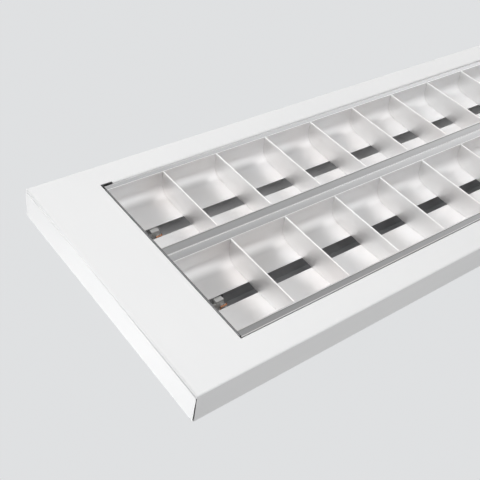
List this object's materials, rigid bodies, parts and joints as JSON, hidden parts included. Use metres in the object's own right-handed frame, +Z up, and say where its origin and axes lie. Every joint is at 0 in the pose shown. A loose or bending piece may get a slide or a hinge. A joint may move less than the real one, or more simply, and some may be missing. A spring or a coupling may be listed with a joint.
{
  "type": "recessed louvre light fixture",
  "caption": "Long white steel ceiling light fixture for linear fluorescent tubes, with a hinged aluminium louvre of parabolic reflectors and V blades.",
  "frame": {"origin": "middle of the flat top of the back pan, the centre of the ceiling screw pattern", "axes": "+X along the lamps, +Z up to the ceiling, the louvre faces -Z and hinges on the +Y side"},
  "size_m": [1.36, 0.305, 0.064],
  "materials": {
    "white_paint": "satin powder coat",
    "louvre_aluminium": "semi-specular",
    "white_plastic": "gloss",
    "contact_copper": "rolled",
    "brass": "turned",
    "gear_case": "satin",
    "terminal_plastic": "moulded",
    "grommet_rubber": "matt",
    "plated_steel": "zinc plated"
  },
  "bodies": {
    "housing": {"back_pan": "white_paint", "ballast_case": "gear_case", "ballast_connector_1": "white_plastic", "ballast_connector_2": "white_plastic", "ballast_screws": "plated_steel", "cable_grommet": "grommet_rubber", "cover_screws": "plated_steel", "earth_nut": "brass", "earth_stud": "brass", "frame_screws": "plated_steel", "front_frame": "white_paint", "gear_cover": "white_paint", "hinge_lug_1": "plated_steel", "hinge_lug_2": "plated_steel", "holder_contacts_1": "contact_copper", "holder_contacts_2": "contact_copper", "holder_contacts_3": "contact_copper", "holder_contacts_4": "contact_copper", "lampholder_1": "white_plastic", "lampholder_2": "white_plastic", "lampholder_3": "white_plastic", "lampholder_4": "white_plastic", "spring_clip_1": "plated_steel", "spring_clip_2": "plated_steel", "spring_clip_3": "plated_steel", "spring_clip_4": "plated_steel", "terminal_block": "terminal_plastic"},
    "louvre": {"cross_blade_01": "louvre_aluminium", "cross_blade_02": "louvre_aluminium", "cross_blade_03": "louvre_aluminium", "cross_blade_04": "louvre_aluminium", "cross_blade_05": "louvre_aluminium", "cross_blade_06": "louvre_aluminium", "cross_blade_07": "louvre_aluminium", "cross_blade_08": "louvre_aluminium", "cross_blade_09": "louvre_aluminium", "cross_blade_10": "louvre_aluminium", "cross_blade_11": "louvre_aluminium", "cross_blade_12": "louvre_aluminium", "cross_blade_13": "louvre_aluminium", "cross_blade_14": "louvre_aluminium", "cross_blade_15": "louvre_aluminium", "cross_blade_16": "louvre_aluminium", "end_plate_1": "louvre_aluminium", "end_plate_2": "louvre_aluminium", "hinge_pin_1": "plated_steel", "hinge_pin_2": "plated_steel", "hinge_row_inner_reflector": "louvre_aluminium", "hinge_row_outer_reflector": "louvre_aluminium", "latch_row_inner_reflector": "louvre_aluminium", "latch_row_outer_reflector": "louvre_aluminium", "louvre_rivets": "louvre_aluminium"},
    "rotor_1": {"lampholder_rotor_1": "white_plastic"},
    "rotor_2": {"lampholder_rotor_2": "white_plastic"},
    "rotor_3": {"lampholder_rotor_3": "white_plastic"},
    "rotor_4": {"lampholder_rotor_4": "white_plastic"}
  },
  "joints": [
    {"name": "louvre_swing", "type": "hinge", "parent": "housing", "child": "louvre", "pos_m": [0, 0.1165, -0.0607], "axis": [1, 0, 0], "range_deg": [0, 90]},
    {"name": "rotor_1_turn", "type": "hinge", "parent": "housing", "child": "rotor_1", "pos_m": [0.5765, 0.0573, -0.024], "axis": [1, 0, 0], "range_deg": [0, 90]},
    {"name": "rotor_2_turn", "type": "hinge", "parent": "housing", "child": "rotor_2", "pos_m": [0.5765, -0.0573, -0.024], "axis": [1, 0, 0], "range_deg": [0, 90]},
    {"name": "rotor_3_turn", "type": "hinge", "parent": "housing", "child": "rotor_3", "pos_m": [-0.5765, 0.0573, -0.024], "axis": [1, 0, 0], "range_deg": [0, 90]},
    {"name": "rotor_4_turn", "type": "hinge", "parent": "housing", "child": "rotor_4", "pos_m": [-0.5765, -0.0573, -0.024], "axis": [1, 0, 0], "range_deg": [0, 90]}
  ]
}
